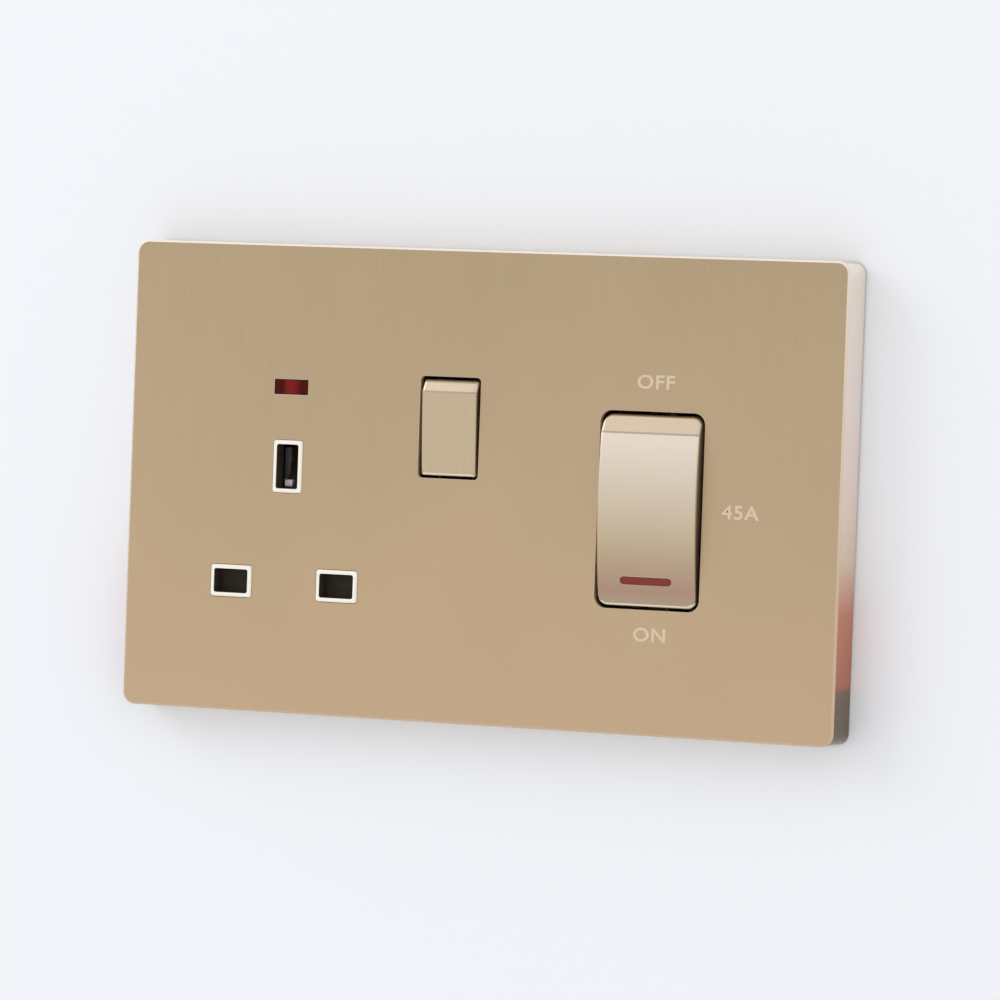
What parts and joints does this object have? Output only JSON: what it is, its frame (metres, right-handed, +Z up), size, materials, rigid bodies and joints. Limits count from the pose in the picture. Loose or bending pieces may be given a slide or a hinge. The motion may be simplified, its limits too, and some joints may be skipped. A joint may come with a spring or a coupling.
{
  "type": "cooker control unit",
  "caption": "Double-size wall plate with a switched flat-pin socket, a neon and a double-pole cooker switch, both with working rockers, over a moulded base with clamp terminals.",
  "frame": {"origin": "midway between the two box fixings, in the wall plane", "axes": "+X to the viewer's right along the plate, +Z up, +Y into the wall"},
  "size_m": [0.146, 0.0322, 0.089],
  "materials": {
    "champagne_plate": "brushed champagne plating",
    "rocker_metal": "satin champagne plating",
    "cream_moulding": "glossy urea moulding",
    "black_moulding": "matt black moulding",
    "base_moulding": "matt pale grey moulding",
    "frame_moulding": "matt dark grey moulding",
    "white_nylon": "natural nylon",
    "spring_steel": "drawn spring wire",
    "contact_brass": "stamped strip",
    "terminal_brass": "machined bar",
    "zinc_screw": "zinc plated",
    "red_lens": "clear red moulding",
    "red_inlay": "red moulding",
    "lamp_glass": "clear glass",
    "resistor_body": "coated resistor"
  },
  "bodies": {
    "housing": {"face_plate": "champagne_plate", "socket_front": "cream_moulding", "front_moulding": "black_moulding", "rear_housing": "base_moulding", "mounting_frame": "frame_moulding", "shutter_spring": "spring_steel", "live_contact": "contact_brass", "neutral_contact": "contact_brass", "earth_contact": "contact_brass", "live_busbar": "contact_brass", "live_link": "contact_brass", "neutral_busbar": "contact_brass", "earth_strap": "contact_brass", "socket_pivot_contact": "contact_brass", "left_pivot_contact": "contact_brass", "left_fixed_contact": "contact_brass", "right_pivot_contact": "contact_brass", "right_fixed_contact": "contact_brass", "supply_live_terminal": "terminal_brass", "supply_neutral_terminal": "terminal_brass", "load_live_terminal": "terminal_brass", "load_neutral_terminal": "terminal_brass", "earth_terminal": "terminal_brass", "assembly_screws": "zinc_screw", "terminal_screws": "zinc_screw", "neon_lens": "red_lens", "neon_lamp": "lamp_glass", "neon_resistor": "resistor_body"},
    "socket_switch": {"socket_rocker": "rocker_metal", "socket_plunger": "white_nylon", "socket_plunger_spring": "spring_steel"},
    "socket_blade": {"socket_moving_contact": "contact_brass"},
    "cooker_switch": {"cooker_rocker": "rocker_metal", "rocker_flag": "red_inlay", "left_plunger": "white_nylon", "right_plunger": "white_nylon", "left_plunger_spring": "spring_steel", "right_plunger_spring": "spring_steel"},
    "left_blade": {"left_moving_contact": "contact_brass"},
    "right_blade": {"right_moving_contact": "contact_brass"},
    "shutter_slide": {"shutter": "black_moulding", "earth_cam": "white_nylon"}
  },
  "joints": [
    {"name": "socket_rocker_tilt", "type": "hinge", "parent": "housing", "child": "socket_switch", "pos_m": [-0.00615, -0.0042, 0.01095], "axis": [-1, 0, 0], "range_deg": [0, 10]},
    {"name": "cooker_rocker_tilt", "type": "hinge", "parent": "housing", "child": "cooker_switch", "pos_m": [0.0351, -0.0032, -0.0028], "axis": [-1, 0, 0], "range_deg": [0, 8]},
    {"name": "socket_blade_swing", "type": "hinge", "parent": "housing", "child": "socket_blade", "pos_m": [-0.00615, 0.0061, 0.01095], "axis": [1, 0, 0], "range_deg": [0, 20]},
    {"name": "left_blade_swing", "type": "hinge", "parent": "housing", "child": "left_blade", "pos_m": [0.0291, 0.0103, -0.0028], "axis": [1, 0, 0], "range_deg": [0, 16]},
    {"name": "right_blade_swing", "type": "hinge", "parent": "housing", "child": "right_blade", "pos_m": [0.0411, 0.0103, -0.0028], "axis": [1, 0, 0], "range_deg": [0, 16]},
    {"name": "shutter_drop", "type": "slide", "parent": "housing", "child": "shutter_slide", "axis": [0, 0, -1], "range_m": [0, 0.0056], "stiffness_N_per_m": 60, "springref_m": -0.002, "deforming": ["shutter_spring"]}
  ],
  "couplings": [
    {"joint": "socket_blade_swing", "follows": "socket_rocker_tilt", "ratio": 2},
    {"joint": "left_blade_swing", "follows": "cooker_rocker_tilt", "ratio": 2},
    {"joint": "right_blade_swing", "follows": "cooker_rocker_tilt", "ratio": 2}
  ]
}
